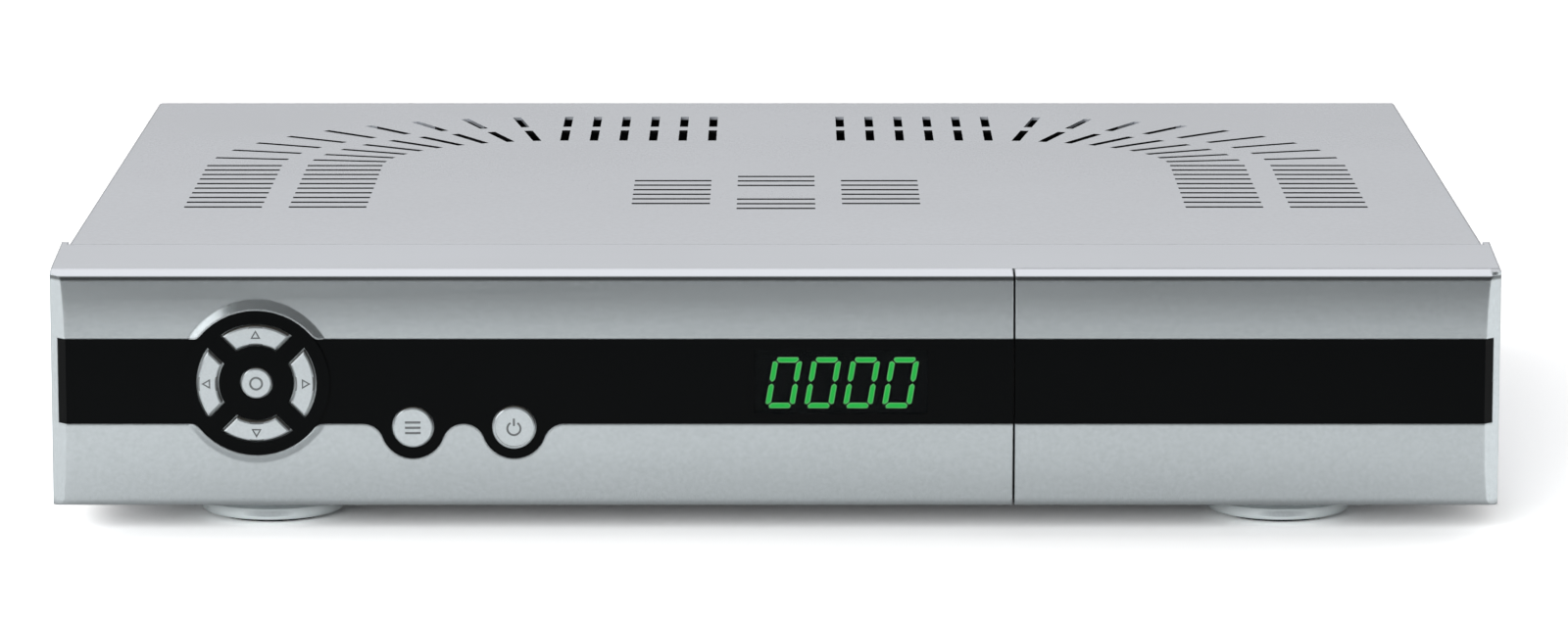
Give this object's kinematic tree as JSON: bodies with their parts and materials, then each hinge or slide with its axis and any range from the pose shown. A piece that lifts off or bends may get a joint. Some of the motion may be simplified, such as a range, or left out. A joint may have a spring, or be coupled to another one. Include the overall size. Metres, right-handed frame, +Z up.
{
  "type": "satellite tv receiver",
  "caption": "Silver satellite television receiver with a dark glossy front strip, round keypad, push keys, green digit display, vented folded cover and a drop-down flap over its card bay.",
  "frame": {"origin": "on the floor, under the middle of the receiver's overall length, width and depth", "axes": "+X to the right of a person facing the front, +Y from the front towards the rear sockets, +Z up"},
  "size_m": [0.34, 0.3014, 0.063],
  "materials": {
    "silver_plastic": "satin",
    "dark_window": "gloss",
    "key_silver": "satin",
    "black_plastic": "matte",
    "green_segments": "satin",
    "circuit_board": "satin",
    "supply_board": "satin",
    "grey_cable": "matte",
    "silver_sheet": "satin",
    "zinc_sheet": "satin",
    "black_sheet": "satin",
    "foot_silver": "satin",
    "rubber_pad": "matte",
    "screw_steel": "satin",
    "brass_post": "satin",
    "heatsink_aluminium": "satin",
    "tin_can": "satin",
    "plated_socket": "gloss",
    "white_plastic": "satin",
    "red_plastic": "satin",
    "ferrite": "matte",
    "capacitor_sleeve": "satin"
  },
  "bodies": {
    "receiver": {"front_bezel": "silver_plastic", "display_window": "dark_window", "display_module": "black_plastic", "display_segments": "green_segments", "front_board": "circuit_board", "key_switches": "black_plastic", "front_cable": "grey_cable", "top_cover": "silver_sheet", "base_tray": "zinc_sheet", "rear_panel": "black_sheet", "feet": "foot_silver", "foot_pads": "rubber_pad", "cover_screws": "screw_steel", "front_screws": "screw_steel", "panel_screws": "screw_steel", "board_standoffs": "brass_post", "board_screws": "screw_steel", "main_board": "circuit_board", "board_chips": "black_plastic", "processor_heatsink": "heatsink_aluminium", "tuner_modules": "tin_can", "lnb_connectors": "plated_socket", "lnb_insulators": "white_plastic", "ethernet_socket": "tin_can", "hdmi_socket": "tin_can", "rear_usb_socket": "tin_can", "optical_socket": "black_plastic", "front_usb_socket": "tin_can", "rca_housing": "black_plastic", "rca_rings": "red_plastic", "rca_sleeves": "plated_socket", "scart_sockets": "black_plastic", "module_cage": "tin_can", "module_connectors": "black_plastic", "card_readers": "black_plastic", "mains_inlet": "black_plastic", "inlet_pins": "plated_socket", "power_switch_housing": "black_plastic", "mains_leads": "grey_cable", "power_board": "supply_board", "power_transformer": "ferrite", "power_capacitors": "capacitor_sleeve", "power_heatsinks": "heatsink_aluminium", "mains_fuse": "white_plastic", "power_harness": "grey_cable"},
    "flap": {"flap_door": "silver_plastic", "flap_window": "dark_window"},
    "up_key_body": {"up_key": "key_silver"},
    "left_key_body": {"left_key": "key_silver"},
    "down_key_body": {"down_key": "key_silver"},
    "right_key_body": {"right_key": "key_silver"},
    "ok_key_body": {"ok_key": "key_silver"},
    "menu_key_body": {"menu_key": "key_silver"},
    "power_key_body": {"power_key": "key_silver"},
    "rocker": {"power_rocker": "black_plastic"}
  },
  "joints": [
    {"name": "flap_hinge", "type": "hinge", "parent": "receiver", "child": "flap", "pos_m": [0.111, -0.14355, 0.0114], "axis": [1, 0, 0], "range_deg": [0, 90]},
    {"name": "up_key_press", "type": "slide", "parent": "receiver", "child": "up_key_body", "axis": [0, 1, 0], "range_m": [0, 0.0004], "stiffness_N_per_m": 3000},
    {"name": "left_key_press", "type": "slide", "parent": "receiver", "child": "left_key_body", "axis": [0, 1, 0], "range_m": [0, 0.0004], "stiffness_N_per_m": 3000},
    {"name": "down_key_press", "type": "slide", "parent": "receiver", "child": "down_key_body", "axis": [0, 1, 0], "range_m": [0, 0.0004], "stiffness_N_per_m": 3000},
    {"name": "right_key_press", "type": "slide", "parent": "receiver", "child": "right_key_body", "axis": [0, 1, 0], "range_m": [0, 0.0004], "stiffness_N_per_m": 3000},
    {"name": "ok_key_press", "type": "slide", "parent": "receiver", "child": "ok_key_body", "axis": [0, 1, 0], "range_m": [0, 0.0004], "stiffness_N_per_m": 3000},
    {"name": "menu_key_press", "type": "slide", "parent": "receiver", "child": "menu_key_body", "axis": [0, 1, 0], "range_m": [0, 0.0004], "stiffness_N_per_m": 3000},
    {"name": "power_key_press", "type": "slide", "parent": "receiver", "child": "power_key_body", "axis": [0, 1, 0], "range_m": [0, 0.0005], "stiffness_N_per_m": 3000},
    {"name": "rocker_tilt", "type": "hinge", "parent": "receiver", "child": "rocker", "pos_m": [-0.108, 0.13835, 0.03], "axis": [1, 0, 0], "range_deg": [0, 14]}
  ]
}
